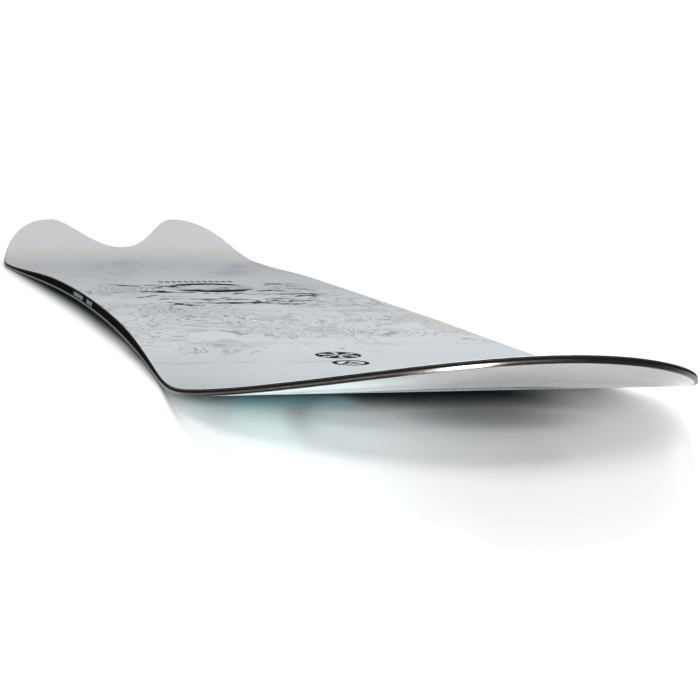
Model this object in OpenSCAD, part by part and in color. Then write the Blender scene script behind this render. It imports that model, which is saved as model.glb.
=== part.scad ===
/* [Plan shape] */
// Length from nose tip to tail lobe tips, mm
board_length = 1580; // [1400:5:1700]
// Greatest width of the nose, mm
nose_width = 309; // [280:1:340]
// Narrowest width between the feet, mm
waist_width = 254; // [235:1:275]
// Greatest width of the tail, mm
tail_width = 293; // [270:1:320]
// Distance from the nose tip back to the widest part of the nose, mm
nose_round = 235; // [140:2:260]
// Distance from the tail lobe tips forward to the widest part of the tail, mm
tail_round = 173; // [140:1:220]
// How far the waist sits behind the middle of the length, mm
waist_setback = 72; // [0:1:90]
// Depth of the swallow notch between the tail lobes, mm
notch_depth = 86; // [30:2:120]
// Distance between the tips of the two tail lobes, mm
lobe_spacing = 150; // [120:2:180]

/* [Side profile] */
// Height of the arch under the feet, mm
camber = 4; // [0:0.5:10]
// Rise of the base at the nose tip, mm
nose_rise = 53; // [20:1:70]
// Rise of the base at the tail lobe tips, mm
tail_rise = 41.5; // [10:0.5:60]
// Length of the upturned nose, mm
nose_kick = 390; // [200:5:420]
// Length of the upturned tail, mm
tail_kick = 170; // [120:2:220]
// Thickness of the board under the feet, mm
middle_thickness = 9.4; // [8:0.1:12]
// Thickness of the board at nose and tail, mm
tip_thickness = 4.3; // [4:0.1:6]

/* [Sheets] */
// Thickness of the polyethylene running base, mm
base_thickness = 1.2; // [1:0.1:1.6]
// Thickness of the glass laminate under the core, mm
lower_laminate = 0.8; // [0.6:0.1:0.8]
// Thickness of the glass laminate above the core, mm
upper_laminate = 0.6; // [0.4:0.1:0.8]
// Thickness of the printed topsheet, mm
topsheet_thickness = 0.6; // [0.4:0.1:0.8]

/* [Edges and sidewalls] */
// Width and height of the exposed bar of the steel edge, mm
edge_bar = 2; // [1.8:0.1:2]
// Thickness of the flange that anchors the steel edge, mm
edge_flange = 0.5; // [0.4:0.1:0.5]
// Reach of that flange in under the board, mm
flange_reach = 5.5; // [4:0.5:6]
// Width of the plastic sidewall, mm
sidewall_width = 8; // [6:0.5:10]
// How far the sidewall face stands back from the steel edge, mm
sidewall_step = 0.3; // [0.2:0.1:0.8]
// How far the topsheet border stands back from the steel edge, mm
topsheet_step = 1.0; // [0.6:0.1:1.2]

/* [Core] */
// Width of the middle wood strip, mm
centre_strip = 20; // [18:1:24]
// Width of each further wood strip, mm
side_strip = 24; // [22:1:24]
// Length of the nose spacer that ends the wood core, mm
nose_spacer_length = 130; // [60:2:140]
// Length of the tail spacer that ends the wood core, mm
tail_spacer_length = 122; // [110:2:140]

/* [Binding inserts] */
// Distance between the middles of the front and rear insert packs, mm
stance_width = 560; // [500:5:620]
// How far the middle of the stance sits behind the middle of the length, mm
stance_setback = 105; // [60:1:130]
// Distance between neighbouring inserts along the board, mm
insert_pitch = 20; // [20:1:20]
// Distance between the two rows of inserts across the board, mm
insert_gauge = 40; // [40:1:40]
// Radius of the threaded hole in an insert, mm
insert_hole_r = 2.5; // [2.5:0.1:2.6]
// Outer radius of the insert barrel, mm
insert_barrel_r = 4; // [3.6:0.1:4.5]
// Radius of the insert flange, mm
insert_flange_r = 8; // [6:0.5:8.5]
// Thickness of the insert flange, mm
insert_flange_t = 1; // [0.8:0.1:1.5]
// Thickness of the strip that spreads the pull of the inserts, mm
strip_thickness = 0.4; // [0.3:0.1:0.6]

/* [Hidden] */

// Landmarks along the board. X runs from the tail to the nose, Y from the right rail to the left rail.
x_nose = board_length / 2;
x_tail = -board_length / 2;
x_nose_wide = x_nose - nose_round;
x_tail_wide = x_tail + tail_round;
x_waist = -waist_setback;
x_notch = x_tail + notch_depth;
x_nose_contact = x_nose - nose_kick;
x_tail_contact = x_tail + tail_kick;
x_core_front = x_nose - nose_spacer_length;
x_core_back = x_tail + tail_spacer_length;

// Levels in the stack, measured up from the running face of the base.
level_flange = base_thickness;
level_rubber = base_thickness + edge_flange;
level_core = base_thickness + lower_laminate;
top_stack = upper_laminate + topsheet_thickness;

// Insets from the outer line of the steel edge.
inset_flange = edge_bar + flange_reach;

// Reach of the Bezier handles that shape the outline.
nose_side_handle = 89;
nose_tip_handle = 84;
waist_nose_handle = 391;
nose_waist_handle = 86;
waist_tail_handle = 291;
tail_waist_handle = 96;
lobe_side_handle = 60;
lobe_tip_handle = 51;
lobe_notch_handle = 23;
notch_handle = 34;

// Exponent of the nose bend, length of the bend at the foot of the straight tail kick,
// and the lengths over which the thickness blends.
nose_bend = 2.03;
tail_bend = 94;
thin_start = 200;
thin_length = 350;
thin_middle = -64;

// Segments used along each part of the outline and of the side profile.
curve_steps = 16;
side_steps = 24;
notch_steps = 10;
tail_stations = 8;
middle_stations = 28;
nose_stations = 16;

// Binding packs.
pack_rows = 6;
strip_margin = 22;
strip_half_width = 32;
insert_recess = 0.1;
insert_seat = 0.15;
flange_clearance = 0.1;
hole_steps = 48;

// Blocks that are large enough to cut right through the board.
cut_height = 200;
cut_width = 500;
cut_length = 2000;

function lerp(a, b, t) = a + (b - a) * t;

// Point on a cubic Bezier curve.
function cubic(a, b, c, d, t) =
  pow(1 - t, 3) * a + 3 * pow(1 - t, 2) * t * b + 3 * (1 - t) * t * t * c + pow(t, 3) * d;

// Points on a cubic curve, without its last point.
function curve(a, b, c, d, n) = [for (i = [0 : n - 1]) cubic(a, b, c, d, i / n)];

// The left half of the outline, from the middle of the notch round to the nose tip.
half_outline = concat(
  curve([x_notch, 0], [x_notch, notch_handle],
    [x_tail, lobe_spacing / 2 - lobe_notch_handle], [x_tail, lobe_spacing / 2], notch_steps),
  curve([x_tail, lobe_spacing / 2], [x_tail, lobe_spacing / 2 + lobe_tip_handle],
    [x_tail_wide - lobe_side_handle, tail_width / 2], [x_tail_wide, tail_width / 2], curve_steps),
  curve([x_tail_wide, tail_width / 2], [x_tail_wide + tail_waist_handle, tail_width / 2],
    [x_waist - waist_tail_handle, waist_width / 2], [x_waist, waist_width / 2], side_steps),
  curve([x_waist, waist_width / 2], [x_waist + waist_nose_handle, waist_width / 2],
    [x_nose_wide - nose_waist_handle, nose_width / 2], [x_nose_wide, nose_width / 2], side_steps),
  curve([x_nose_wide, nose_width / 2], [x_nose_wide + nose_side_handle, nose_width / 2],
    [x_nose, nose_tip_handle], [x_nose, 0], curve_steps),
  [[x_nose, 0]]
);
half_count = len(half_outline);

// The whole outline, round the board once.
outline = concat(half_outline, [for (i = [half_count - 2 : -1 : 1]) [half_outline[i][0], -half_outline[i][1]]]);
outline_count = len(outline);

function unit(v) = v / norm(v);

// The outline moved inwards by a distance, along the mean of the normals of its two neighbours.
function inward(i) =
  let (
    before = outline[(i + outline_count - 1) % outline_count],
    here = outline[i],
    after = outline[(i + 1) % outline_count],
    a = unit(here - before),
    b = unit(after - here),
    m = unit(a + b)
  )
  [m[1], -m[0]] / max(0.2, a * m);

inward_steps = [for (i = [0 : outline_count - 1]) inward(i)];

function inset_outline(d) = [for (i = [0 : outline_count - 1]) outline[i] + d * inward_steps[i]];

// A round bend that runs on as a straight ramp.
function tail_climb(d) = d < tail_bend ? d * d / (2 * tail_bend) : d - tail_bend / 2;

// Height of the running face above the snow line at a place along the board.
function base_height(x) =
  let (
    middle = (x_nose_contact + x_tail_contact) / 2,
    half = (x_nose_contact - x_tail_contact) / 2,
    u = min(1, abs(x - middle) / half),
    to_nose = max(0, x - x_nose_contact) / nose_kick,
    to_tail = tail_climb(max(0, x_tail_contact - x)) / tail_climb(tail_kick)
  )
  camber * pow(1 - u * u, 2) + nose_rise * pow(to_nose, nose_bend) + tail_rise * to_tail;

// Thickness of the whole stack at a place along the board.
function stack(x) =
  let (
    t = max(0, min(1, (abs(x - thin_middle) - thin_start) / thin_length)),
    s = t * t * (3 - 2 * t)
  )
  lerp(middle_thickness, tip_thickness, s);

// Places along the board at which the side profile is set out.
stations = concat(
  [x_tail - 1],
  [for (i = [1 : tail_stations]) lerp(x_tail, x_tail_contact, i / tail_stations)],
  [for (i = [1 : middle_stations]) lerp(x_tail_contact, x_nose_contact, i / middle_stations)],
  [for (i = [1 : nose_stations - 1]) lerp(x_nose_contact, x_nose, i / nose_stations)],
  [x_nose + 1]
);

// Straight-line reading of the profile between stations, so that drilled parts meet the sheets exactly.
function station_before(x, i = 0) = stations[i + 1] >= x ? i : station_before(x, i + 1);
function along(x, f) =
  let (
    i = station_before(x),
    t = (x - stations[i]) / (stations[i + 1] - stations[i])
  )
  lerp(f[i], f[i + 1], t);

base_line = [for (x = stations) base_height(x)];
top_line = [for (x = stations) base_height(x) + stack(x)];

function raised(f, d) = [for (z = f) z + d];
line_flange = raised(base_line, level_flange);
line_rubber = raised(base_line, level_rubber);
line_edge_top = raised(base_line, edge_bar);
line_core = raised(base_line, level_core);
line_core_top = raised(top_line, -top_stack);
line_topsheet = raised(top_line, -topsheet_thickness);

function insert_x(pack, row) = pack + (row - (pack_rows - 1) / 2) * insert_pitch;
pack_front = -stance_setback + stance_width / 2;
pack_rear = -stance_setback - stance_width / 2;

// A bent slab between two lines of the side profile.
module slab(lower, upper) {
  last = len(stations) - 1;
  points = concat(
    [for (i = [0 : last]) [stations[i], lower[i]]],
    [for (i = [last : -1 : 0]) [stations[i], upper[i]]]
  );
  translate([0, cut_width / 2, 0])
  rotate([90, 0, 0])
  linear_extrude(height = cut_width)
  polygon(points);
}

// A vertical column with the plan of the board, inset by a distance.
module column(d) {
  translate([0, 0, -cut_height / 4])
  linear_extrude(height = cut_height)
  polygon(inset_outline(d));
}

// A vertical tube that follows the rim between two insets.
module rim(outer, inner) {
  translate([0, 0, -cut_height / 4])
  linear_extrude(height = cut_height)
  difference() {
    polygon(inset_outline(outer));
    polygon(inset_outline(inner));
  }
}

// A block between two places along the board and two across it.
module band(x0, x1, y0, y1) {
  translate([x0, y0, -cut_height / 4])
  cube([x1 - x0, y1 - y0, cut_height]);
}

// Vertical cutters at every insert of one pack.
module pack_cutters(pack, radius) {
  for (row = [0 : pack_rows - 1], side = [-1, 1])
    translate([insert_x(pack, row), side * insert_gauge / 2, -cut_height / 4])
    cylinder(r = radius, h = cut_height, $fn = hole_steps);
}

// Vertical cutters at the inserts of one row only, on one side of the board.
module row_cutters(pack, side, radius, height_above_core) {
  for (row = [0 : pack_rows - 1])
    translate([insert_x(pack, row), side * insert_gauge / 2,
      along(insert_x(pack, row), line_core) - 1])
    cylinder(r = radius, h = height_above_core + 1, $fn = hole_steps);
}

module base_sheet() {
  color([0.62, 0.72, 0.74])
  intersection() {
    slab(base_line, line_flange);
    column(edge_bar);
  }
}

module steel_edge() {
  color([0.62, 0.62, 0.64])
  union() {
    intersection() {
      slab(base_line, line_edge_top);
      rim(0, edge_bar);
    }
    intersection() {
      slab(line_flange, line_rubber);
      rim(edge_bar, inset_flange);
    }
  }
}

module edge_rubber() {
  color([0.08, 0.08, 0.08])
  intersection() {
    slab(line_rubber, line_core);
    rim(edge_bar, inset_flange);
  }
}

module lower_laminate_sheet() {
  color([0.78, 0.8, 0.66])
  intersection() {
    slab(line_flange, line_core);
    column(inset_flange);
  }
}

// The wood core between the sidewalls and the spacers, as one block to be divided into strips.
module core_block() {
  intersection() {
    slab(line_core, line_core_top);
    column(sidewall_width);
    band(x_core_back, x_core_front, -cut_width / 2, cut_width / 2);
  }
}

module strip_pockets() {
  for (pack = [pack_front, pack_rear])
    insert_strip_block(pack);
}

module insert_strip_block(pack) {
  reach = (pack_rows - 1) / 2 * insert_pitch + strip_margin;
  intersection() {
    slab(raised(line_core_top, -strip_thickness), line_core_top);
    band(pack - reach, pack + reach, -strip_half_width, strip_half_width);
  }
}

module plain_strip(y0, y1) {
  intersection() {
    core_block();
    band(-cut_length / 2, cut_length / 2, y0, y1);
  }
}

module core_strip_centre() {
  color([0.86, 0.72, 0.5])
  difference() {
    plain_strip(-centre_strip / 2, centre_strip / 2);
    strip_pockets();
  }
}

// The first strip on each side carries the inserts.
module drilled_strip(side) {
  inner = centre_strip / 2;
  outer = centre_strip / 2 + side_strip;
  difference() {
    plain_strip(side > 0 ? inner : -outer, side > 0 ? outer : -inner);
    strip_pockets();
    for (pack = [pack_front, pack_rear]) {
      row_cutters(pack, side, insert_flange_r, insert_flange_t);
      row_cutters(pack, side, insert_barrel_r, cut_height / 4);
    }
  }
}

// A further strip, counted outwards from the middle. The last one runs out to the sidewall.
module outer_strip(side, number) {
  inner = centre_strip / 2 + (number - 1) * side_strip;
  outer = number == 5 ? cut_width / 2 : centre_strip / 2 + number * side_strip;
  plain_strip(side > 0 ? inner : -outer, side > 0 ? outer : -inner);
}

module core_strip_left_1() {
  color([0.74, 0.52, 0.32])
  drilled_strip(1);
}

module core_strip_left_2() {
  color([0.86, 0.72, 0.5])
  outer_strip(1, 2);
}

module core_strip_left_3() {
  color([0.74, 0.52, 0.32])
  outer_strip(1, 3);
}

module core_strip_left_4() {
  color([0.86, 0.72, 0.5])
  outer_strip(1, 4);
}

module core_strip_left_5() {
  color([0.74, 0.52, 0.32])
  outer_strip(1, 5);
}

module core_strip_right_1() {
  color([0.74, 0.52, 0.32])
  drilled_strip(-1);
}

module core_strip_right_2() {
  color([0.86, 0.72, 0.5])
  outer_strip(-1, 2);
}

module core_strip_right_3() {
  color([0.74, 0.52, 0.32])
  outer_strip(-1, 3);
}

module core_strip_right_4() {
  color([0.86, 0.72, 0.5])
  outer_strip(-1, 4);
}

module core_strip_right_5() {
  color([0.74, 0.52, 0.32])
  outer_strip(-1, 5);
}

// One sidewall: the strip of the rim beside the wood core, above the steel edge.
module sidewall(side) {
  color([0.03, 0.03, 0.035])
  intersection() {
    slab(line_core, line_core_top);
    rim(sidewall_step, sidewall_width);
    band(x_core_back, x_core_front, side > 0 ? 0 : -cut_width / 2, side > 0 ? cut_width / 2 : 0);
  }
}

module sidewall_left() {
  sidewall(1);
}

module sidewall_right() {
  sidewall(-1);
}

module nose_spacer() {
  color([0.03, 0.03, 0.035])
  intersection() {
    slab(line_core, line_core_top);
    column(sidewall_step);
    band(x_core_front, x_nose + 1, -cut_width / 2, cut_width / 2);
  }
}

module tail_spacer() {
  color([0.03, 0.03, 0.035])
  intersection() {
    slab(line_core, line_core_top);
    column(sidewall_step);
    band(x_tail - 1, x_core_back, -cut_width / 2, cut_width / 2);
  }
}

module insert_strip_front() {
  color([0.9, 0.9, 0.84])
  difference() {
    insert_strip_block(pack_front);
    pack_cutters(pack_front, insert_barrel_r);
  }
}

module insert_strip_rear() {
  color([0.9, 0.9, 0.84])
  difference() {
    insert_strip_block(pack_rear);
    pack_cutters(pack_rear, insert_barrel_r);
  }
}

// One flanged insert: a wide foot under the core and a barrel up to just below the topsheet face.
module insert(x) {
  foot = along(x, line_core) + insert_seat;
  head = along(x, top_line) - insert_recess;
  translate([x, 0, foot])
  difference() {
    union() {
      cylinder(r = insert_flange_r - flange_clearance, h = insert_flange_t - insert_seat, $fn = hole_steps);
      cylinder(r = insert_barrel_r, h = head - foot, $fn = hole_steps);
    }
    translate([0, 0, -1])
    cylinder(r = insert_hole_r, h = head - foot + 2, $fn = hole_steps);
  }
}

module insert_pack(pack) {
  color([0.75, 0.75, 0.77])
  for (row = [0 : pack_rows - 1], side = [-1, 1])
    translate([0, side * insert_gauge / 2, 0])
    insert(insert_x(pack, row));
}

module inserts_front() {
  insert_pack(pack_front);
}

module inserts_rear() {
  insert_pack(pack_rear);
}

module upper_laminate_sheet() {
  color([0.78, 0.8, 0.66])
  difference() {
    intersection() {
      slab(line_core_top, line_topsheet);
      column(sidewall_step);
    }
    pack_cutters(pack_front, insert_barrel_r);
    pack_cutters(pack_rear, insert_barrel_r);
  }
}

module topsheet() {
  color([0.8, 0.83, 0.83])
  difference() {
    intersection() {
      slab(line_topsheet, top_line);
      column(topsheet_step);
    }
    pack_cutters(pack_front, insert_barrel_r);
    pack_cutters(pack_rear, insert_barrel_r);
  }
}

base_sheet();
steel_edge();
edge_rubber();
lower_laminate_sheet();
core_strip_centre();
core_strip_left_1();
core_strip_left_2();
core_strip_left_3();
core_strip_left_4();
core_strip_left_5();
core_strip_right_1();
core_strip_right_2();
core_strip_right_3();
core_strip_right_4();
core_strip_right_5();
sidewall_left();
sidewall_right();
nose_spacer();
tail_spacer();
insert_strip_front();
insert_strip_rear();
inserts_front();
inserts_rear();
upper_laminate_sheet();
topsheet();
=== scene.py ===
import math

import bpy
import numpy as np
from mathutils import Matrix, Vector
from mathutils.geometry import delaunay_2d_cdt


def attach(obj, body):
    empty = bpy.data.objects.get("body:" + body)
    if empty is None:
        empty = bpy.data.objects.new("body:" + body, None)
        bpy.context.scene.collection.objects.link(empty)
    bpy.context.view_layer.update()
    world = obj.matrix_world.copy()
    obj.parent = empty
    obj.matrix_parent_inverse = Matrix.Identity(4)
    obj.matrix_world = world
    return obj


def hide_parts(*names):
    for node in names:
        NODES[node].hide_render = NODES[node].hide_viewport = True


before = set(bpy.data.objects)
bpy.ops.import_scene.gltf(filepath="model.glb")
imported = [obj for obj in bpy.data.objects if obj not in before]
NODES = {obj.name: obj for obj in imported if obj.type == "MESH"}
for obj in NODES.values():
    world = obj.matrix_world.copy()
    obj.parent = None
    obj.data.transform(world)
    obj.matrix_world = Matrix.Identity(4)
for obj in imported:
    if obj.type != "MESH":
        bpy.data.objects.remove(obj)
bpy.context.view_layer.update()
MM = 0.001

# ---------------------------------------------------------------------------
# The board's design sizes, in millimetres, as the CAD part has them
# ---------------------------------------------------------------------------
HALF = 790.0
NOSE_WIDE, NOSE_HALF = HALF - 235.0, 154.5
NOSE_SIDE_HANDLE, NOSE_TIP_HANDLE = 89.0, 84.0
WAIST_X, WAIST_HALF = -72.0, 127.0
WAIST_NOSE_HANDLE, NOSE_WAIST_HANDLE = 391.0, 86.0
WAIST_TAIL_HANDLE, TAIL_WAIST_HANDLE = 291.0, 96.0
TAIL_WIDE, TAIL_HALF = -HALF + 173.0, 146.5
LOBE_SIDE_HANDLE, LOBE_TIP_HANDLE, LOBE_NOTCH_HANDLE = 60.0, 51.0, 23.0
NOTCH_X, LOBE_Y, NOTCH_HANDLE = -HALF + 86.0, 75.0, 34.0
NOSE_KICK, NOSE_RISE, NOSE_BEND = 390.0, 53.0, 2.03
TAIL_KICK, TAIL_RISE, TAIL_BEND = 170.0, 41.5, 94.0
CAMBER = 4.0
MIDDLE_T, TIP_T = 9.4, 4.3
THICK_FLAT, THICK_FADE, THICK_MIDDLE = 200.0, 350.0, -64.0
BASE_T = 1.2
EDGE_BAR = 2.0
FLANGE_LOW, FLANGE_HIGH, FLANGE_IN = 1.21, 1.7, 7.5
TOP_STACK = 1.2
TOPSHEET_T = 0.6
CORE_FRONT, CORE_BACK = HALF - 130.0, -HALF + 122.0
PACKS = {"front": -105.0 + 280.0, "rear": -105.0 - 280.0}
ROWS, PITCH, GAUGE = 6, 20.0, 40.0
BARREL_R, HOLE_R, COLLAR_R = 4.0, 2.5, 7.9
THREAD_PITCH, THREAD_DEPTH, THREAD_SIDES = 1.0, 0.32, 32


def bezier(a, b, c, d, n):
    t = np.linspace(0, 1, n + 1)[:-1, None]
    a, b, c, d = (np.array(p, float) for p in (a, b, c, d))
    return (1 - t) ** 3 * a + 3 * (1 - t) ** 2 * t * b + 3 * (1 - t) * t * t * c + t ** 3 * d


def half_outline():
    """The left half of the plan, from the root of the tail notch round to the nose tip."""
    notch, lobe = (NOTCH_X, 0.0), (-HALF, LOBE_Y)
    tail, waist, nose, tip = (TAIL_WIDE, TAIL_HALF), (WAIST_X, WAIST_HALF), (NOSE_WIDE, NOSE_HALF), (HALF, 0.0)
    parts = [
        bezier(notch, (NOTCH_X, NOTCH_HANDLE), (-HALF, LOBE_Y - LOBE_NOTCH_HANDLE), lobe, 30),
        bezier(lobe, (-HALF, LOBE_Y + LOBE_TIP_HANDLE), (TAIL_WIDE - LOBE_SIDE_HANDLE, TAIL_HALF), tail, 44),
        bezier(tail, (TAIL_WIDE + TAIL_WAIST_HANDLE, TAIL_HALF),
               (WAIST_X - WAIST_TAIL_HANDLE, WAIST_HALF), waist, 64),
        bezier(waist, (WAIST_X + WAIST_NOSE_HANDLE, WAIST_HALF),
               (NOSE_WIDE - NOSE_WAIST_HANDLE, NOSE_HALF), nose, 76),
        bezier(nose, (NOSE_WIDE + NOSE_SIDE_HANDLE, NOSE_HALF), (HALF, NOSE_TIP_HANDLE), tip, 72),
        np.array([tip]),
    ]
    return np.concatenate(parts)


_half = half_outline()
OUTLINE = np.concatenate([_half, (_half * [1, -1])[-2:0:-1]])
_t = np.roll(OUTLINE, -1, 0) - np.roll(OUTLINE, 1, 0)
_t /= np.linalg.norm(_t, axis=1)[:, None]
INWARD = np.stack([_t[:, 1], -_t[:, 0]], 1)


def inset(d):
    """The outline moved inwards by d."""
    return OUTLINE + d * INWARD


def tail_climb(d):
    """A round bend that runs on as a straight ramp."""
    return np.where(d < TAIL_BEND, d * d / (2 * TAIL_BEND), d - TAIL_BEND / 2)


def base_height(x):
    """Height of the running face at x."""
    x = np.asarray(x, float)
    front, back = HALF - NOSE_KICK, -HALF + TAIL_KICK
    u = np.clip(np.abs(x - (front + back) / 2) / ((front - back) / 2), 0, 1)
    return (
        CAMBER * (1 - u * u) ** 2
        + NOSE_RISE * (np.maximum(0, x - front) / NOSE_KICK) ** NOSE_BEND
        + TAIL_RISE * tail_climb(np.maximum(0, back - x)) / tail_climb(TAIL_KICK)
    )


def stack(x):
    """Thickness of the board at x."""
    t = np.clip((np.abs(np.asarray(x, float) - THICK_MIDDLE) - THICK_FLAT) / THICK_FADE, 0, 1)
    return MIDDLE_T + (TIP_T - MIDDLE_T) * t * t * (3 - 2 * t)


def level(x, where, offset):
    """Height at x: an offset up from the running face ("b") or down from the top face ("t")."""
    return base_height(x) + (offset if where == "b" else stack(x) - offset)


# ---------------------------------------------------------------------------
# Mesh makers
# ---------------------------------------------------------------------------
def make_object(name, verts, faces, sharp_deg=32):
    """A smooth-shaded mesh object from points in millimetres."""
    mesh = bpy.data.meshes.new(name)
    mesh.from_pydata([tuple(v) for v in np.asarray(verts, float) * MM], [], [tuple(f) for f in faces])
    mesh.validate()
    mesh.update()
    obj = bpy.data.objects.new(name, mesh)
    bpy.context.scene.collection.objects.link(obj)
    mesh.shade_smooth()
    mesh.set_sharp_from_angle(angle=math.radians(sharp_deg))
    return obj


def stand_for(obj, material, node):
    """Puts the piece in the place of a CAD node."""
    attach(obj, "root")
    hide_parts(node)
    obj.data.materials.append(material)


def sweep(name, rows, profile, closed):
    """A closed cross-section (inset, "b" or "t", offset) carried along the outline rows."""
    line, normal = OUTLINE[rows], INWARD[rows]
    n, k = len(rows), len(profile)
    verts = np.zeros((n * k, 3))
    for j, (d, where, offset) in enumerate(profile):
        p = line + d * normal
        verts[j::k, :2] = p
        verts[j::k, 2] = level(p[:, 0], where, offset)
    faces = []
    last = n if closed else n - 1
    for i in range(last):
        a, b = i * k, ((i + 1) % n) * k
        for j in range(k):
            j2 = (j + 1) % k
            faces.append((a + j, a + j2, b + j2, b + j))
    if not closed:
        faces.append(tuple(range(k - 1, -1, -1)))
        faces.append(tuple((n - 1) * k + j for j in range(k)))
    return make_object(name, verts, faces)


def inside(points, loop):
    """Which points lie inside a closed loop."""
    x, y = points[:, 0][:, None], points[:, 1][:, None]
    a, b = loop, np.roll(loop, -1, 0)
    cross = (a[:, 1] > y) != (b[:, 1] > y)
    with np.errstate(divide="ignore", invalid="ignore"):
        at = (b[:, 0] - a[:, 0]) * (y - a[:, 1]) / (b[:, 1] - a[:, 1]) + a[:, 0]
    return (cross & (x < at)).sum(1) % 2 == 1


def clearance(points, loop):
    """Distance from each point to the nearest vertex of a dense loop."""
    out = np.full(len(points), 1e9)
    for s in range(0, len(points), 4000):
        block = points[s:s + 4000]
        out[s:s + 4000] = np.sqrt(((block[:, None] - loop[None]) ** 2).sum(-1)).min(1)
    return out


def circle(x, y, r, n):
    """n points round a circle."""
    a = np.arange(n) * 2 * math.pi / n
    return np.stack([x + r * np.cos(a), y + r * np.sin(a)], 1)


def sheet(name, rings, low, high, holes=(), drop=0.0, hole_drop=0.0, step=(7.0, 8.0)):
    """A thin solid between two levels. rings runs from the rim inwards; the rim's top edge drops a little."""
    rim = rings[0]
    loops = list(rings) + [h for pair in holes for h in pair]
    pts = np.concatenate(loops)
    edges, start, starts = [], 0, []
    for lp in loops:
        m = len(lp)
        starts.append(start)
        edges += [(start + i, start + (i + 1) % m) for i in range(m)]
        start += m
    x0, y0 = rim.min(0)
    x1, y1 = rim.max(0)
    gx, gy = np.meshgrid(np.arange(x0, x1, step[0]), np.arange(0, y1, step[1]))
    lattice = np.stack([gx.ravel(), gy.ravel()], 1)
    lattice = np.concatenate([lattice, (lattice * [1, -1])[lattice[:, 1] > 0]])
    lattice = lattice[inside(lattice, rings[-1])]
    lattice = lattice[clearance(lattice, rings[-1]) > 3.5]
    for outer, _ in holes:
        c = outer.mean(0)
        r = np.linalg.norm(outer[0] - c)
        lattice = lattice[np.linalg.norm(lattice - c, axis=1) > r + 1.5]
    allp = np.concatenate([pts, lattice])
    out = delaunay_2d_cdt([Vector(p) for p in allp], edges, [], 0, 1e-6)
    xy = np.array([(v[0], v[1]) for v in out[0]])
    tris = np.array([f[:3] for f in out[2]])
    mid = xy[tris].mean(1)
    keep = inside(mid, rim)
    for _, inner in holes:
        c = inner.mean(0)
        keep &= np.linalg.norm(mid - c, axis=1) > np.linalg.norm(inner[0] - c)
    tris = tris[keep]
    new = {}
    for i, olds in enumerate(out[3]):
        for o in olds:
            new[o] = i
    top_z = level(xy[:, 0], *high)
    for i in range(len(rim)):
        top_z[new[i]] -= drop
    for h in range(len(holes)):
        k = len(rings) + 2 * h + 1
        for i in range(len(loops[k])):
            top_z[new[starts[k] + i]] -= hole_drop
    low_z = level(xy[:, 0], *low)
    used = np.unique(tris)
    remap = -np.ones(len(xy), int)
    remap[used] = np.arange(len(used))
    n = len(used)
    verts = np.concatenate([
        np.concatenate([xy[used], top_z[used, None]], 1),
        np.concatenate([xy[used], low_z[used, None]], 1),
    ])
    a, b, c = (xy[tris[:, i]] for i in range(3))
    area = (b[:, 0] - a[:, 0]) * (c[:, 1] - a[:, 1]) - (b[:, 1] - a[:, 1]) * (c[:, 0] - a[:, 0])
    tris[area < 0] = tris[area < 0][:, ::-1]
    up = remap[tris]
    faces = [tuple(f) for f in up.tolist()] + [tuple(f[::-1]) for f in (up + n).tolist()]
    walls = [0] + [len(rings) + 2 * h + 1 for h in range(len(holes))]
    for w in walls:
        lp, s = loops[w], starts[w]
        ids = [remap[new[s + i]] for i in range(len(lp))]
        signed = np.sum(lp[:, 0] * np.roll(lp[:, 1], -1) - np.roll(lp[:, 0], -1) * lp[:, 1])
        if (signed < 0) == (w == 0):
            ids = ids[::-1]
        for i in range(len(ids)):
            p, q = ids[i], ids[(i + 1) % len(ids)]
            faces.append((p, p + n, q + n, q))
    return make_object(name, verts, faces)


def clipped(d, x_cut, keep_front):
    """The inset outline cut straight across at x_cut, as one closed loop."""
    line = inset(d)
    side = line[:, 0] > x_cut if keep_front else line[:, 0] < x_cut
    n = len(line)
    loop = []
    for i in range(n):
        j = (i + 1) % n
        if side[i]:
            loop.append(line[i])
        if side[i] != side[j]:
            t = (x_cut - line[i, 0]) / (line[j, 0] - line[i, 0])
            loop.append(line[i] + t * (line[j] - line[i]))
    loop = np.array(loop)
    dense = []
    for i in range(len(loop)):
        a, b = loop[i], loop[(i + 1) % len(loop)]
        gap = np.linalg.norm(b - a)
        m = max(1, int(gap // 12))
        dense += [a + (b - a) * s / m for s in range(m)]
    return np.array(dense)


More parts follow.
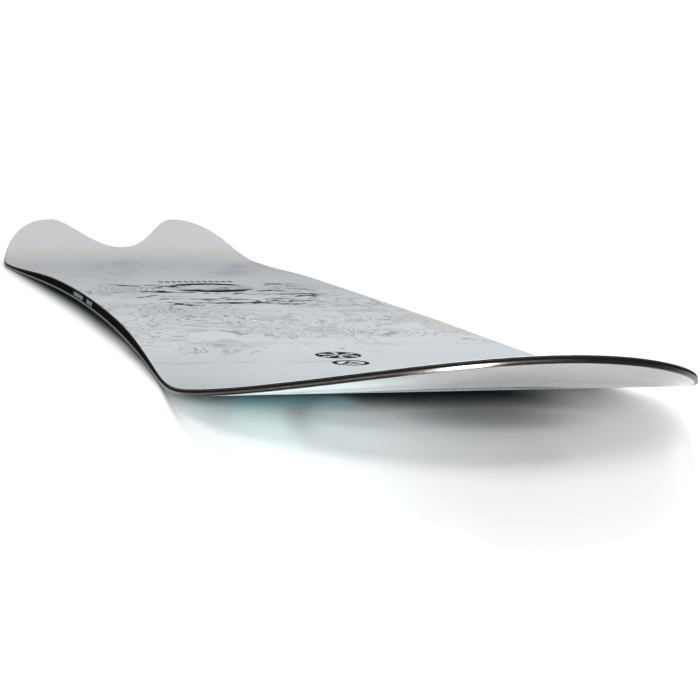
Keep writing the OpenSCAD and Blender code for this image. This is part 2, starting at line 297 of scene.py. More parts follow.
# ---------------------------------------------------------------------------
# Shader graph helpers
# ---------------------------------------------------------------------------
class Graph:
    """Short names for building a shader from arithmetic on the board's own coordinates."""

    def __init__(self, name):
        self.mat = bpy.data.materials.new(name)
        self.mat.use_nodes = True
        self.tree = self.mat.node_tree
        self.nodes, self.links = self.tree.nodes, self.tree.links
        self.bsdf = self.nodes["Principled BSDF"]
        xyz = self.nodes.new("ShaderNodeSeparateXYZ")
        coord = self.nodes.new("ShaderNodeTexCoord")
        self.links.new(coord.outputs["Object"], xyz.inputs[0])
        self.x = self.math("MULTIPLY", xyz.outputs[0], 1 / MM)
        self.y = self.math("MULTIPLY", xyz.outputs[1], 1 / MM)
        self.z = self.math("MULTIPLY", xyz.outputs[2], 1 / MM)

    def put(self, socket, value):
        if isinstance(value, Value):
            value = value.socket
        if isinstance(value, bpy.types.NodeSocket):
            self.links.new(value, socket)
        else:
            socket.default_value = value

    def math(self, op, a, b=0.0):
        node = self.nodes.new("ShaderNodeMath")
        node.operation = op
        for socket, value in zip(node.inputs, (a, b)):
            self.put(socket, value)
        return Value(self, node.outputs[0])

    def noise(self, x, y, z=0.0, scale=1.0, detail=2.0, rough=0.5, distortion=0.0):
        node = self.nodes.new("ShaderNodeTexNoise")
        xyz = self.nodes.new("ShaderNodeCombineXYZ")
        for socket, value in zip(xyz.inputs, (x, y, z)):
            self.put(socket, value)
        self.links.new(xyz.outputs[0], node.inputs["Vector"])
        node.inputs["Scale"].default_value = scale
        node.inputs["Detail"].default_value = detail
        node.inputs["Roughness"].default_value = rough
        node.inputs["Distortion"].default_value = distortion
        return Value(self, node.outputs[0])

    def ramp(self, value, low, high):
        """0 below low, 1 above high, smooth between."""
        node = self.nodes.new("ShaderNodeMapRange")
        node.interpolation_type = "SMOOTHSTEP"
        self.put(node.inputs["Value"], value)
        node.inputs["From Min"].default_value = low
        node.inputs["From Max"].default_value = high
        return Value(self, node.outputs["Result"])

    def window(self, value, low, high, soft):
        """1 between low and high, fading to 0 over soft outside."""
        return self.ramp(value, low - soft, low) * (1 - self.ramp(value, high, high + soft))

    def mix(self, factor, a, b):
        node = self.nodes.new("ShaderNodeMix")
        node.data_type = "RGBA"
        self.put(node.inputs[0], factor)
        self.put(node.inputs[6], rgba(a))
        self.put(node.inputs[7], rgba(b))
        return node.outputs[2]

    def bump(self, height, distance, strength):
        node = self.nodes.new("ShaderNodeBump")
        node.inputs["Strength"].default_value = strength
        node.inputs["Distance"].default_value = distance
        self.put(node.inputs["Height"], height)
        return node.outputs[0]

    def set(self, **values):
        for name, value in values.items():
            self.put(self.bsdf.inputs[name.replace("_", " ")], rgba(value) if "Color" in name else value)
        return self.mat


class Value:
    """A number carried by a shader socket, with ordinary arithmetic."""

    def __init__(self, graph, socket):
        self.graph, self.socket = graph, socket

    def _op(self, op, a, b):
        return self.graph.math(op, a, b)

    def __add__(self, o): return self._op("ADD", self, o)
    def __radd__(self, o): return self._op("ADD", o, self)
    def __sub__(self, o): return self._op("SUBTRACT", self, o)
    def __rsub__(self, o): return self._op("SUBTRACT", o, self)
    def __mul__(self, o): return self._op("MULTIPLY", self, o)
    def __rmul__(self, o): return self._op("MULTIPLY", o, self)
    def __truediv__(self, o): return self._op("DIVIDE", self, o)
    def abs(self): return self._op("ABSOLUTE", self, 0.0)
    def fract(self): return self._op("FRACT", self, 0.0)
    def sqrt(self): return self._op("SQRT", self, 0.0)
    def sin(self): return self._op("SINE", self, 0.0)
    def max(self, o): return self._op("MAXIMUM", self, o)
    def min(self, o): return self._op("MINIMUM", self, o)


def rgba(value):
    if isinstance(value, (tuple, list)) and len(value) == 3:
        return (*value, 1.0)
    return value


# ---------------------------------------------------------------------------
# Materials
# ---------------------------------------------------------------------------
def topsheet_material():
    g = Graph("printed_topsheet")
    x, y = g.x, g.y
    wx = g.noise(x, y, 3.0, scale=1 / 75, detail=2)
    wy = g.noise(x, y, 11.0, scale=1 / 60, detail=2)
    u = x + (wx - 0.5) * 70
    v = y + (wy - 0.5) * 60

    def line(field, count, width):
        """Thin contour lines of a field."""
        f = (field * count).fract()
        return 1 - g.ramp((f - 0.5).abs(), width * 0.5, width)

    # ground: pale grey, a little warmer at the tail, with a broad wash; darker over the tail and in two stretches
    # along the board, with painted shade on the left side of the nose
    wash = g.noise(x, y, 0.0, scale=1 / 260, detail=3)
    colour = g.mix(g.ramp(x, -700.0, -420.0), (0.415, 0.41, 0.42), (0.375, 0.395, 0.41))
    colour = g.mix(g.ramp(x, -250.0, 350.0), colour, (0.43, 0.455, 0.475))
    colour = g.mix(g.ramp(wash, 0.35, 0.75) * 0.35, colour, (0.35, 0.37, 0.39))
    tone_and_painted_shade = 1.07 - 0.215 * (1 - g.ramp(x, -668.0, -640.0))
    tone_and_painted_shade = tone_and_painted_shade - 0.195 * g.ramp(x, -668.0, -640.0) * (1 - g.ramp(x, -560.0, -240.0))
    tone_and_painted_shade = tone_and_painted_shade - 0.10 * g.window(x, -330.0, -120.0, 140.0) - 0.05 * g.window(x, 60.0, 350.0, 80.0)
    # painted shade: the left side of the nose darker
    tone_and_painted_shade = tone_and_painted_shade - 0.18 * g.ramp(x, 250.0, 470.0) * g.ramp(-1 * y, 40.0, 150.0)
    shade = g.nodes.new("ShaderNodeVectorMath")
    shade.operation = "SCALE"
    g.links.new(colour, shade.inputs[0])
    g.put(shade.inputs["Scale"], tone_and_painted_shade)
    colour = shade.outputs[0]

    # smoky streaks behind the rear foot
    streak = ((x + 600) * 0.296 + (y - 135) * 0.955) / 24
    smoke = 1 - g.ramp(streak.abs(), 0.1, 1.5)
    smoke = smoke * g.window(x, -560.0, -330.0, 90.0)
    streak2 = ((x + 470) * 0.2 + (y + 45) * 0.98) / 44
    smoke2 = (1 - g.ramp(streak2.abs(), 0.1, 1.3)) * g.window(x, -600.0, -290.0, 110.0)
    smear = g.noise(x * 0.25, y, 5.0, scale=1 / 22, detail=4)
    colour = g.mix((smoke * 0.6 + smoke2 * 0.45) * g.ramp(smear, 0.25, 0.7), colour, (0.225, 0.25, 0.285))

    # beige band where the tail starts to rise
    ragged = g.noise(x, y, 7.0, scale=1 / 16, detail=4)
    band = g.window(x + (ragged - 0.5) * 16, -686.0, -661.0, 5.0) * g.ramp(ragged, 0.30, 0.62)
    colour = g.mix(band * 0.6, colour, (0.345, 0.33, 0.29))
    band_line = 1 - g.ramp((x + 654 + (wy - 0.5) * 16).abs(), 0.8, 2.4)
    colour = g.mix(band_line * g.ramp(ragged, 0.45, 0.6) * 0.5, colour, (0.22, 0.21, 0.2))

    # wood-grain lines along the board
    grain = g.noise(x * 0.035, y, 2.0, scale=1 / 5, detail=3, rough=0.6)
    colour = g.mix(g.ramp(grain, 0.55, 0.72) * 0.07, colour, (0.25, 0.27, 0.29))

    # marbled contour line work
    marble = g.noise(u * 0.62, v * 1.15, 21.0, scale=1 / 80, detail=4, rough=0.55, distortion=0.7)
    region = g.window(x, -120.0, 300.0, 60.0)
    patch = g.noise(x, y, 31.0, scale=1 / 70, detail=3)
    lines = line(marble, 15.0, 0.12) * g.ramp(patch, 0.40, 0.56) * region
    colour = g.mix(lines * 0.6, colour, (0.14, 0.15, 0.16))
    fine = line(marble, 34.0, 0.2) * g.ramp(patch, 0.50, 0.62) * region
    colour = g.mix(fine * 0.36, colour, (0.18, 0.19, 0.2))

    # grey brush marks round the front foot
    brush = g.noise(u * 0.6, v * 0.85, 41.0, scale=1 / 26, detail=5, rough=0.62)
    brush_area = g.window(x, 115.0, 265.0, 55.0) * g.window(y, -80.0, 75.0, 55.0)
    brushed = g.ramp(brush, 0.545, 0.60) * brush_area
    colour = g.mix(brushed * 0.42, colour, (0.25, 0.265, 0.275))

    # beige patches
    beige = g.noise(u * 0.75, v * 1.1, 51.0, scale=1 / 34, detail=5, rough=0.6)
    flanks = g.window(y, 55.0, 130.0, 30.0) + g.window(y, -130.0, -70.0, 25.0) * 0.7
    beige_area = g.window(x, 40.0, 270.0, 50.0) * flanks
    beige_area = beige_area + g.window(x, -40.0, 20.0, 40.0) * g.window(y, -30.0, 70.0, 30.0) * 0.8
    patches = g.ramp(beige, 0.545, 0.60) * beige_area.min(1.0)
    colour = g.mix(patches * 0.5, colour, (0.38, 0.36, 0.32))
    rim = (1 - g.ramp((beige - 0.55).abs(), 0.004, 0.012)) * beige_area.min(1.0)
    colour = g.mix(rim * 0.6, colour, (0.15, 0.145, 0.14))

    # ripple rings either side of the pond
    ripples = ((-142.0, -80.0, 1.9, 42.0, 0.62), (-158.0, 90.0, 1.5, 34.0, 0.45))
    for cx, cy, stretch, size, strength in ripples:
        dx = (x - cx) / stretch + (wx - 0.5) * 5
        dy = (y - cy) + (wy - 0.5) * 5
        r = (dx * dx + dy * dy).sqrt()
        rings = line(r, 1 / 5.4, 0.2) * (1 - g.ramp(r, size * 0.4, size))
        colour = g.mix(rings * strength, colour, (0.13, 0.14, 0.15))

    # the ink pond: a broken dark ring with a lighter heart
    rag = g.noise(x, y * 0.7, 61.0, scale=1 / 13, detail=5, rough=0.6)
    px = (x + 149 + (wx - 0.5) * 20) / 50
    py = (y - 1.5) / 39.5
    pr = (px * px + py * py).sqrt() + (rag - 0.5) * 0.34
    ends = g.ramp(px.abs(), 0.28, 0.62)
    ring = g.window(pr, 0.66, 0.99, 0.05) * (ends * 0.85 + 0.15) * g.ramp(rag, 0.25, 0.40)
    near = g.window(pr, 0.50, 0.99, 0.05) * g.ramp(px, 0.35, 0.65)
    heart = (1 - g.ramp(pr, 0.5, 0.75)) * g.ramp(rag, 0.42, 0.6)
    colour = g.mix(heart * 0.35, colour, (0.2, 0.2, 0.24))
    colour = g.mix(ring.max(near), colour, (0.012, 0.012, 0.02))

    # a plain row of small lozenges behind the pond
    step = ((y + 37.2) / 6.2).fract() - 0.5
    lozenge = 1 - g.ramp(step.abs() * 1.7 + (x + 222).abs() / 15, 0.66, 0.80)
    colour = g.mix(lozenge * g.window(y, -37.0, 37.0, 0.3), colour, (0.02, 0.02, 0.028))

    # ink fragments drifting from the pond towards the front foot
    frag = g.noise(u, v * 0.6, 71.0, scale=1 / 30, detail=4, rough=0.55)
    strokes = (1 - g.ramp((frag - 0.5).abs(), 0.022, 0.042))
    gate = g.noise(x, y * 0.55, 81.0, scale=1 / 24, detail=2)
    drift = g.window(x, -185.0, 35.0, 25.0) * g.window(y, -80.0, 75.0, 25.0)
    ink = strokes * g.ramp(gate, 0.50, 0.57) * drift
    colour = g.mix(ink, colour, (0.015, 0.015, 0.022))
    blot_x = (x - 8 + (rag - 0.5) * 16) / 9
    blot_y = (y + 2) / 34
    blot = 1 - g.ramp((blot_x * blot_x + blot_y * blot_y).sqrt() + (rag - 0.5) * 0.9, 0.75, 0.95)
    colour = g.mix(blot * g.ramp(rag, 0.35, 0.5), colour, (0.012, 0.012, 0.018))

    # a faint dry stroke across the board behind the nose
    dry = g.window(x + (wx - 0.5) * 22 + (ragged - 0.5) * 6, 371.0, 378.0, 3.0)
    dry = dry * g.window(y, -125.0, -15.0, 14.0)
    colour = g.mix(dry * g.ramp(smear, 0.3, 0.6) * 0.3, colour, (0.24, 0.25, 0.27))

    # two plain printed marks near the nose: a disc with a snow crystal, and a ring
    def polar(cx, cy):
        dx, dy = x - cx, y - cy
        return (dx * dx + dy * dy).sqrt(), g.math("ARCTAN2", dy, dx)

    r, a = polar(347.0, -3.0)
    disc = 1 - g.ramp(r, 16.2, 16.9)
    sector = ((a * (6 / (2 * math.pi)) + 0.5).fract() - 0.5) * (2 * math.pi / 6)
    along = r * g.math("COSINE", sector)
    across = r * sector.sin().abs()
    arm = (1 - g.ramp(across, 0.9, 1.3)) * g.ramp(along, 1.6, 2.0)
    barb = (1 - g.ramp(((along - 8.6) - across * 1.1).abs(), 0.6, 0.95)) * (1 - g.ramp(across, 3.2, 3.6))
    barb2 = (1 - g.ramp(((along - 12.0) - across * 1.1).abs(), 0.5, 0.85)) * (1 - g.ramp(across, 2.0, 2.4))
    crystal = arm.max(barb).max(barb2) * (1 - g.ramp(r, 14.4, 14.9))
    colour = g.mix(disc * (1 - crystal), colour, (0.014, 0.014, 0.02))
    r, a = polar(386.0, -4.0)
    ring = g.window(r, 9.9, 12.9, 0.5)
    tri = ((a * (3 / (2 * math.pi)) + 0.5).fract() - 0.5) * (2 * math.pi / 3)
    peak = g.window(r * g.math("COSINE", tri), 2.0, 4.3, 0.4)
    colour = g.mix(ring.max(peak), colour, (0.014, 0.014, 0.02))

    # handling: faint scuffs and dust that change gloss more than colour
    scuff = g.noise(x * 0.12, y, 91.0, scale=1 / 3.2, detail=5, rough=0.7)
    dust = g.noise(x, y, 95.0, scale=1 / 1.3, detail=3, rough=0.7)
    colour = g.mix(g.ramp(dust, 0.60, 0.8) * 0.10, colour, (0.30, 0.31, 0.32))
    rough = 0.46 + (scuff - 0.5) * 0.16 + (wash - 0.5) * 0.10
    emboss = grain * 0.5 + dust * 0.35 + scuff * 0.3
    normal = g.bump(emboss, 0.00004, 0.5)
    side = g.nodes.new("ShaderNodeNewGeometry")
    upright = g.nodes.new("ShaderNodeSeparateXYZ")
    g.links.new(side.outputs["True Normal"], upright.inputs[0])
    rim_mask = 1 - g.ramp(upright.outputs[2], 0.35, 0.6)
    colour = g.mix(rim_mask, colour, (0.006, 0.006, 0.007))
    return g.set(Base_Color=colour, Roughness=rough, Normal=normal, IOR=1.5, Specular_IOR_Level=0.0)


def sidewall_material():
    g = Graph("sidewall_plastic")
    x, y, z = g.x, g.y, g.z
    mill = g.noise(x * 0.02, y * 0.02, z * 1.0, scale=6.0, detail=4, rough=0.6)
    chatter = g.noise(x, y, z, scale=1 / 2.4, detail=4, rough=0.65)
    haze = g.noise(x, y, z, scale=1 / 60, detail=3)
    colour = g.mix(g.ramp(chatter, 0.55, 0.8) * 0.6, (0.004, 0.004, 0.0045), (0.009, 0.009, 0.010))
    # plain pale hatching on the left sidewall, behind the middle
    bars = 1 - g.ramp(((x + z * 0.5) / 9).fract(), 0.50, 0.58)
    spots = g.window(x, -155.0, -95.0, 0.5).max(g.window(x, -72.0, -36.0, 0.5))
    bars = bars * spots * g.window(z, 6.9, 10.4, 0.2) * (1 - g.ramp(y, -1.0, 1.0))
    colour = g.mix(bars * g.ramp(chatter, 0.2, 0.5), colour, (0.21, 0.23, 0.28))
    rough = 0.34 + (haze - 0.5) * 0.2 + (chatter - 0.5) * 0.12
    normal = g.bump(mill, 0.00005, 0.5)
    return g.set(Base_Color=colour, Roughness=rough, Normal=normal, IOR=1.5, Specular_IOR_Level=0.0)


def edge_material():
    g = Graph("edge_steel")
    x, y, z = g.x, g.y, g.z
    grind = g.noise(x, y, z * 14, scale=0.55, detail=5, rough=0.7)
    fleck = g.noise(x, y, z * 3, scale=1 / 3.5, detail=4, rough=0.6)
    tarnish = g.noise(x, y, z, scale=1 / 45, detail=3)
    colour = g.mix(g.ramp(fleck, 0.35, 0.72), (0.12, 0.114, 0.105), (0.06, 0.056, 0.051))
    colour = g.mix(g.ramp(tarnish, 0.5, 0.8) * 0.4, colour, (0.05, 0.043, 0.038))
    # painted shade: the steel darker towards the tail
    colour = g.mix((1 - g.ramp(x, -330.0, -60.0)) * 0.42, colour, (0.03, 0.028, 0.026))
    # painted shade: the steel darkened at the right of the nose tip, at the tail, and along the lower half of the
    # nose's steel, left out where the lamp's glint falls
    tip = (g.ramp(x, 520.0, 600.0) * g.ramp(y, -22.0, 18.0)).max(1 - g.ramp(x, -650.0, -520.0))
    rise = g.math("POWER", ((x - (HALF - NOSE_KICK)) / NOSE_KICK).max(0.0), NOSE_BEND) * NOSE_RISE
    low = (1 - g.ramp(z - rise, 0.7, 1.2)) * g.ramp(x, 560.0, 640.0) * (1 - g.window(y, -70.0, -36.0, 8.0))
    colour = g.mix((tip * 0.92).max(low * 0.8), colour, (0.010, 0.009, 0.009))
    rough = 0.24 + (grind - 0.5) * 0.22 + (fleck - 0.5) * 0.16
    normal = g.bump(grind, 0.00003, 0.6)
    g.set(Specular_Tint=(0.55, 0.54, 0.52, 1.0))
    return g.set(Base_Color=colour, Metallic=1.0, Roughness=rough, Normal=normal)


def base_material():
    g = Graph("running_base")
    x, y = g.x, g.y
    wash = g.noise(x, y, 4.0, scale=1 / 210, detail=4)
    bend = g.noise(x, y, 9.0, scale=1 / 160, detail=3)
    u = x + (bend - 0.5) * 110
    colour = g.mix(g.ramp(u, 250.0, 560.0), (0.16, 0.30, 0.32), (0.78, 0.80, 0.81))
    colour = g.mix(g.ramp(x, 600.0, 740.0), colour, (0.34, 0.34, 0.345))
    colour = g.mix(g.ramp(-1 * u, 150.0, 560.0), colour, (0.36, 0.40, 0.43))
    aqua = g.ramp(-1 * y + (wash - 0.5) * 90, 20.0, 130.0) * g.window(x, 430.0, 690.0, 70.0)
    colour = g.mix(aqua * 0.85, colour, (0.84, 0.97, 0.97))
    rose = g.window(y + (wash - 0.5) * 50, 40.0, 105.0, 30.0) * g.window(x, 560.0, 720.0, 60.0)
    colour = g.mix(rose * 0.25, colour, (0.50, 0.44, 0.475))
    # sweeping arcs and soft washes, smoke blue and teal
    def far_from(cx, cy):
        dx, dy = x - cx, y - cy
        return (dx * dx + dy * dy).sqrt() + (bend - 0.5) * 10

    r = far_from(571.0, 3.0)
    bow = g.window(r, 84.0, 93.0, 4.0) * (1 - g.ramp(y, 40.0, 66.0))
    colour = g.mix(bow * 0.85, colour, (0.04, 0.05, 0.08))
    colour = g.mix(g.window(r, 132.0, 140.0, 10.0) * 0.3, colour, (0.22, 0.25, 0.31))
    colour = g.mix((1 - g.ramp(far_from(558.0, 38.0), 15.0, 58.0)) * 0.8, colour, (0.09, 0.11, 0.14))
    colour = g.mix((1 - g.ramp(far_from(488.0, -88.0), 20.0, 75.0)) * 0.8, colour, (0.10, 0.36, 0.42))
    sinter = g.noise(x, y, 0.0, scale=1 / 0.8, detail=4, rough=0.65)
    colour = g.mix(g.ramp(sinter, 0.5, 0.8) * 0.12, colour, (0.25, 0.27, 0.28))
    structure = g.noise(x * 0.01, y, 6.0, scale=1.6, detail=3, rough=0.6)
    rough = 0.30 + (structure - 0.5) * 0.16 + (wash - 0.5) * 0.08
    normal = g.bump(structure * 0.7 + sinter * 0.3, 0.00003, 0.5)
    return g.set(Base_Color=colour, Roughness=rough, Normal=normal, IOR=1.5, Specular_IOR_Level=0.45)


def insert_material():
    g = Graph("insert_steel")
    x, y, z = g.x, g.y, g.z
    turn = g.noise(x, y, z, scale=1.1, detail=4, rough=0.7)
    soil = g.noise(x, y, z, scale=1 / 8, detail=2)
    colour = g.mix(g.ramp(soil, 0.4, 0.7) * 0.5, (0.66, 0.66, 0.66), (0.52, 0.52, 0.52))
    colour = g.mix(1 - g.ramp(x, -200.0, 0.0), colour, (0.43, 0.44, 0.45))
    rough = 0.26 + (turn - 0.5) * 0.2
    return g.set(Base_Color=colour, Metallic=1.0, Roughness=rough, Normal=g.bump(turn, 0.00003, 0.4))


def wood_material(name, light, dark, ring):
    g = Graph(name)
    x, y, z = g.x, g.y, g.z
    warp = g.noise(x * 0.12, y, z, scale=1 / 30, detail=2)
    rings = g.noise(x * 0.02, y + (warp - 0.5) * 16, z * 3, scale=ring, detail=4, rough=0.6)
    pores = g.noise(x * 0.08, y, z, scale=2.2, detail=3, rough=0.7)
    colour = g.mix(g.ramp(rings, 0.35, 0.68), light, dark)
    colour = g.mix(g.ramp(pores, 0.58, 0.75) * 0.5, colour, tuple(c * 0.45 for c in dark))
    normal = g.bump(rings * 0.4 + pores * 0.6, 0.00008, 0.6)
    return g.set(Base_Color=colour, Roughness=0.55 + (pores - 0.5) * 0.3, Normal=normal)


def laminate_material():
    g = Graph("glass_laminate")
    x, y = g.x, g.y
    weave = (x * 2.6).sin() * (y * 2.6).sin()
    resin = g.noise(x, y, 0.0, scale=1 / 14, detail=3)
    colour = g.mix(g.ramp(weave, -0.6, 0.6), (0.012, 0.012, 0.011), (0.024, 0.024, 0.022))
    colour = g.mix(g.ramp(resin, 0.45, 0.75) * 0.5, colour, (0.009, 0.009, 0.008))
    rough = 0.4 + (resin - 0.5) * 0.2
    return g.set(Base_Color=colour, Roughness=rough, Normal=g.bump(weave, 0.00004, 0.5), Specular_IOR_Level=0.01)


def rubber_material():
    g = Graph("damping_rubber")
    x, y, z = g.x, g.y, g.z
    skin = g.noise(x, y, z, scale=1 / 1.5, detail=4, rough=0.6)
    colour = g.mix(g.ramp(skin, 0.4, 0.7), (0.018, 0.018, 0.018), (0.035, 0.034, 0.033))
    return g.set(Base_Color=colour, Roughness=0.75 + (skin - 0.5) * 0.2, Normal=g.bump(skin, 0.0001, 0.6))


M_TOP = topsheet_material()
M_WALL = sidewall_material()
M_EDGE = edge_material()
M_BASE = base_material()
M_INSERT = insert_material()
M_POPLAR = wood_material("poplar", (0.62, 0.50, 0.33), (0.45, 0.32, 0.18), 1 / 5)
M_BEECH = wood_material("beech", (0.46, 0.28, 0.15), (0.32, 0.17, 0.085), 1 / 3.5)
M_GLASS = laminate_material()
M_RUBBER = rubber_material()

# ---------------------------------------------------------------------------
# Pieces
# ---------------------------------------------------------------------------
insert_places = {
    pack: [(c + (r - (ROWS - 1) / 2) * PITCH, s * GAUGE / 2) for r in range(ROWS) for s in (-1, 1)]
    for pack, c in PACKS.items()
}
all_places = insert_places["front"] + insert_places["rear"]

top_holes = [(circle(x, y, BARREL_R + 0.55, 28), circle(x, y, BARREL_R + 0.03, 28)) for x, y in all_places]
top_rings = [inset(d) for d in (1.0, 1.25, 1.6, 4.0)]
topsheet = sheet("topsheet_skin", top_rings, ("t", TOPSHEET_T), ("t", 0.0),
                 holes=top_holes, drop=0.22, hole_drop=0.12, step=(6.0, 7.0))
stand_for(topsheet, M_TOP, "topsheet")

lam_holes = [(circle(x, y, BARREL_R + 1.2, 20), circle(x, y, BARREL_R + 0.03, 20)) for x, y in all_places]
laminate = sheet("upper_laminate_skin", [inset(0.85), inset(3.0)], ("t", TOP_STACK), ("t", TOPSHEET_T + 0.01),
                 holes=lam_holes, step=(14.0, 16.0))
stand_for(laminate, M_GLASS, "upper_laminate_sheet")

base = sheet("base_skin", [inset(EDGE_BAR + 0.02), inset(4.0)], ("b", 0.0), ("b", BASE_T), step=(6.0, 8.0))
stand_for(base, M_BASE, "base_sheet")

everything = np.arange(len(OUTLINE))
edge = sweep("steel_edge_bar", everything, [
    (0.0, "b", 0.18), (0.0, "b", EDGE_BAR - 0.18), (0.06, "b", EDGE_BAR - 0.04), (0.2, "b", EDGE_BAR),
    (EDGE_BAR, "b", EDGE_BAR), (EDGE_BAR, "b", FLANGE_HIGH), (FLANGE_IN, "b", FLANGE_HIGH),
    (FLANGE_IN, "b", FLANGE_LOW), (EDGE_BAR, "b", FLANGE_LOW), (EDGE_BAR, "b", 0.0),
    (0.18, "b", 0.0), (0.05, "b", 0.05),
], True)
stand_for(edge, M_EDGE, "steel_edge")

WALL_IN = 8.0
wall_profile = [
    (WALL_IN, "b", EDGE_BAR), (0.3, "b", EDGE_BAR), (0.36, "b", EDGE_BAR + 0.12), (0.62, "t", 1.55),
    (0.78, "t", 1.26), (0.86, "t", TOP_STACK), (WALL_IN, "t", TOP_STACK),
]
half_n = len(_half)
beside_core = (OUTLINE[:, 0] >= CORE_BACK) & (OUTLINE[:, 0] <= CORE_FRONT)
left_rows = [i for i in range(half_n) if beside_core[i] and OUTLINE[i, 1] > 60]
right_rows = [i for i in range(half_n, len(OUTLINE)) if beside_core[i] and OUTLINE[i, 1] < -60]
for side, rows in (("left", left_rows), ("right", right_rows)):
    wall = sweep(f"sidewall_{side}_strip", np.array(rows), wall_profile, False)
    stand_for(wall, M_WALL, f"sidewall_{side}")


def end_spacer(name, x_cut, front, node):
    """The spacer that carries the rim on past the ends of the sidewalls."""
    solid = sheet(name, [clipped(0.3, x_cut, front)], ("b", EDGE_BAR), ("t", TOP_STACK), step=(12.0, 12.0))
    stand_for(solid, M_WALL, node)


wall_ends = [OUTLINE[max(left_rows), 0], OUTLINE[min(left_rows), 0]]
end_spacer("nose_spacer_block", max(wall_ends), True, "nose_spacer")
end_spacer("tail_spacer_block", min(wall_ends), False, "tail_spacer")


def threaded_insert(x, y):
    """One insert: barrel, chamfered rim and a cut thread, as a closed lathe form."""
    seg = THREAD_SIDES
    foot = float(base_height(x)) + 2.15
    head = float(base_height(x) + stack(x)) - 0.1
    turns = np.linspace(head - 0.45, foot, int((head - 0.45 - foot) / THREAD_PITCH * 7))
    outer = [(COLLAR_R, foot), (COLLAR_R, foot + 0.7), (COLLAR_R - 0.15, foot + 0.85), (BARREL_R, foot + 0.85),
             (BARREL_R, head - 0.25), (BARREL_R - 0.25, head), (HOLE_R + 0.75, head), (HOLE_R + 0.42, head - 0.3)]
    rows = []
    for r, z in outer:
        rows.append([(r, z)] * seg)
    for z in turns:
        ring = []
        for s in range(seg):
            phase = (z / THREAD_PITCH - s / seg) % 1.0
            ring.append((HOLE_R + THREAD_DEPTH * abs(2 * phase - 1), z))
        rows.append(ring)
    verts, faces = [], []
    for ring in rows:
        for s, (r, z) in enumerate(ring):
            a = 2 * math.pi * s / seg
            verts.append((x + r * math.cos(a), y + r * math.sin(a), z))
    n = len(rows)
    for i in range(n):
        for s in range(seg):
            a, b = i * seg, ((i + 1) % n) * seg
            faces.append((a + s, a + (s + 1) % seg, b + (s + 1) % seg, b + s))
    return verts, faces


for pack, places in insert_places.items():
    verts, faces = [], []
    for x, y in places:
        v, f = threaded_insert(x, y)
        faces += [tuple(i + len(verts) for i in q) for q in f]
        verts += v
    pieces = make_object(f"inserts_{pack}_threaded", verts, faces, sharp_deg=50)
    stand_for(pieces, M_INSERT, f"inserts_{pack}")

kept = {"edge_rubber": M_RUBBER, "lower_laminate_sheet": M_GLASS, "insert_strip_front": M_GLASS,
        "insert_strip_rear": M_GLASS, "core_strip_centre": M_POPLAR}
for side in ("left", "right"):
    for number in range(1, 6):
        kept[f"core_strip_{side}_{number}"] = M_BEECH if number % 2 else M_POPLAR
for name, material in kept.items():
    slots = NODES[name].data.materials
    slots.clear()
    slots.append(material)

# ---------------------------------------------------------------------------
# Studio: pale floor, soft light and the camera
# ---------------------------------------------------------------------------
FLOOR_HALF, FLOOR_Z = 40.0, -0.0002
SKY_LIT, SKY_MIRRORED, SKY_SEEN = 0.55, 1.1, 1.05

floor_mesh = bpy.data.meshes.new("studio_floor")
corners = [(a * FLOOR_HALF, b * FLOOR_HALF, FLOOR_Z) for a, b in ((-1, -1), (1, -1), (1, 1), (-1, 1))]
floor_mesh.from_pydata(corners, [], [(0, 1, 2, 3)])
floor = bpy.data.objects.new("studio_floor", floor_mesh)
bpy.context.scene.collection.objects.link(floor)
g = Graph("studio_floor")
# far off the floor glows like the sky, so that no horizon shows
far = g.ramp((g.x * g.x + g.y * g.y).sqrt(), 1150.0, 1900.0)
# painted shade on the floor where the board nearly touches it, a painted shadow under the nose, and a painted
# teal reflection of its base
along = g.ramp(g.x, -740.0, -560.0) * (1 - g.ramp(g.x - g.y.min(0.0) * 0.52, 505.0, 625.0))
fringe = g.y + 150.0 + g.ramp(-1 * g.x, 60.0, 500.0) * 8 + g.ramp(g.x, 300.0, 430.0) * 5
across = g.ramp(fringe / (30 - g.ramp(g.x, 200.0, 300.0) * 10), 0.0, 1.0) * (1 - g.ramp(g.y, 60.0, 120.0))
# painted shadow: a soft dark pool under the nose
px, py = (g.x - 612.0) / 48, (g.y - 18.0) / 50
painted_nose_shadow = 1 - g.ramp((px * px + py * py).sqrt(), 0.3, 1.5)
# painted reflection: a teal tint in the shade and a teal patch on the floor near the nose
tinted = g.ramp(-1 * g.y, 10.0, 70.0) * g.ramp(g.x, 380.0, 480.0)
painted_teal_reflection = g.window(g.x, 520.0, 545.0, 28.0) * g.window(g.y, -106.0, -52.0, 20.0)
painted_contact_shade = (along * across * (1 - painted_teal_reflection * 0.85)).max(painted_nose_shadow * 0.45)
lit = g.mix(painted_teal_reflection * 0.85, (0.95, 0.95, 0.95), (0.68, 0.96, 0.98))
shade = g.mix(tinted, (0.05, 0.07, 0.073), (0.03, 0.11, 0.12))
shade_gloss = g.mix(tinted, (0.16, 0.215, 0.22), (0.10, 0.29, 0.31))
g.set(Base_Color=g.mix(painted_contact_shade, lit, shade), Roughness=0.9, Specular_IOR_Level=0.0)
gloss = g.nodes.new("ShaderNodeBsdfAnisotropic")
g.put(gloss.inputs["Color"], g.mix(painted_contact_shade, lit, shade_gloss))
gloss.inputs["Roughness"].default_value = 0.2
surface = g.nodes.new("ShaderNodeMixShader")
surface.inputs[0].default_value = 0.55
g.links.new(g.bsdf.outputs[0], surface.inputs[1])
g.links.new(gloss.outputs[0], surface.inputs[2])
glow = g.nodes.new("ShaderNodeEmission")
glow.inputs["Strength"].default_value = SKY_SEEN
join = g.nodes.new("ShaderNodeMixShader")
g.put(join.inputs[0], far)
g.links.new(surface.outputs[0], join.inputs[1])
g.links.new(glow.outputs[0], join.inputs[2])
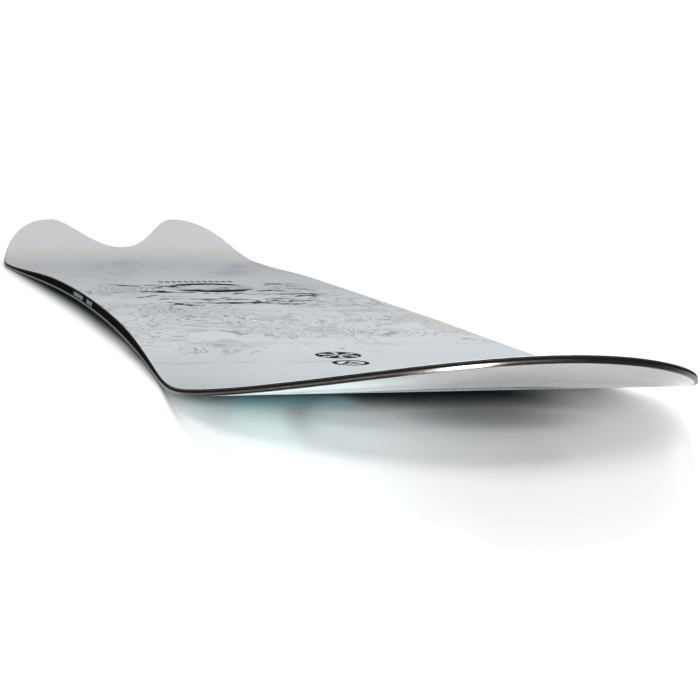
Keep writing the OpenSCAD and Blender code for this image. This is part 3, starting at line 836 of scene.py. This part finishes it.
g.links.new(join.outputs[0], g.nodes["Material Output"].inputs["Surface"])
floor_mesh.materials.append(g.mat)


def softbox(name, place, target, size, power, mirrored=True, lighting=True):
    """A rectangular light. It may be left out of reflections, or lend only a reflection."""
    light = bpy.data.lights.new(name, "AREA")
    light.shape = "RECTANGLE"
    light.size, light.size_y = size
    light.energy = power
    obj = bpy.data.objects.new(name, light)
    bpy.context.scene.collection.objects.link(obj)
    obj.location = place
    obj.rotation_mode = "QUATERNION"
    obj.rotation_quaternion = (Vector(target) - Vector(place)).to_track_quat("-Z", "Y")
    obj.visible_camera = False
    obj.visible_glossy = mirrored
    obj.visible_diffuse = lighting


softbox("overhead", (0.1, 1.0, 3.2), (0.1, 0.0, 0.0), (4.5, 3.0), 115, mirrored=False)
softbox("left_fill", (2.5, -1.75, 0.22), (0.65, -0.03, 0.02), (2.2, 0.4), 132, mirrored=False)
softbox("right_fill", (2.6, 1.35, 0.22), (0.65, 0.03, 0.02), (2.0, 0.4), 72, mirrored=False)
softbox("edge_glint", (1.01, -0.306, 0.07), (0.77, -0.05, 0.05), (0.15, 0.16), 5.0, lighting=False)

world = bpy.data.worlds.new("studio")
bpy.context.scene.world = world
world.use_nodes = True
tree = world.node_tree
tree.nodes.clear()
out = tree.nodes.new("ShaderNodeOutputWorld")
path = tree.nodes.new("ShaderNodeLightPath")


def sky(strength):
    """A plain white sky."""
    node = tree.nodes.new("ShaderNodeBackground")
    node.inputs["Color"].default_value = (1, 1, 1, 1)
    node.inputs["Strength"].default_value = strength
    return node.outputs[0]


def choose(factor, otherwise, chosen):
    """One shader or the other."""
    node = tree.nodes.new("ShaderNodeMixShader")
    for socket, source in zip(node.inputs, (factor, otherwise, chosen)):
        tree.links.new(source, socket)
    return node.outputs[0]


mirrored_or_lit = choose(path.outputs["Is Glossy Ray"], sky(SKY_LIT), sky(SKY_MIRRORED))
tree.links.new(choose(path.outputs["Is Camera Ray"], mirrored_or_lit, sky(SKY_SEEN)), out.inputs[0])

CAMERA_PLACE = (1.75495, -0.36962, 0.17308)
FOCAL_PIXELS, PICTURE_WIDTH, SENSOR_WIDTH = 2059.6, 700, 36
yaw, pitch, roll = (math.radians(a) for a in (14.923, -6.395, 0.855))
forward = Vector((-math.cos(yaw) * math.cos(pitch), math.sin(yaw) * math.cos(pitch), math.sin(pitch)))
level_right = forward.cross(Vector((0, 0, 1))).normalized()
level_up = level_right.cross(forward)
right = level_right * math.cos(roll) + level_up * math.sin(roll)
up = -level_right * math.sin(roll) + level_up * math.cos(roll)
camera = bpy.data.objects.new("camera", bpy.data.cameras.new("camera"))
bpy.context.scene.collection.objects.link(camera)
camera.matrix_world = Matrix((
    (right.x, up.x, -forward.x, CAMERA_PLACE[0]),
    (right.y, up.y, -forward.y, CAMERA_PLACE[1]),
    (right.z, up.z, -forward.z, CAMERA_PLACE[2]),
    (0, 0, 0, 1),
))
camera.data.sensor_width = SENSOR_WIDTH
camera.data.lens = SENSOR_WIDTH * FOCAL_PIXELS / PICTURE_WIDTH
camera.data.clip_start = 0.05
camera.data.clip_end = 200
bpy.context.scene.camera = camera
bpy.context.scene.view_settings.view_transform = "Standard"
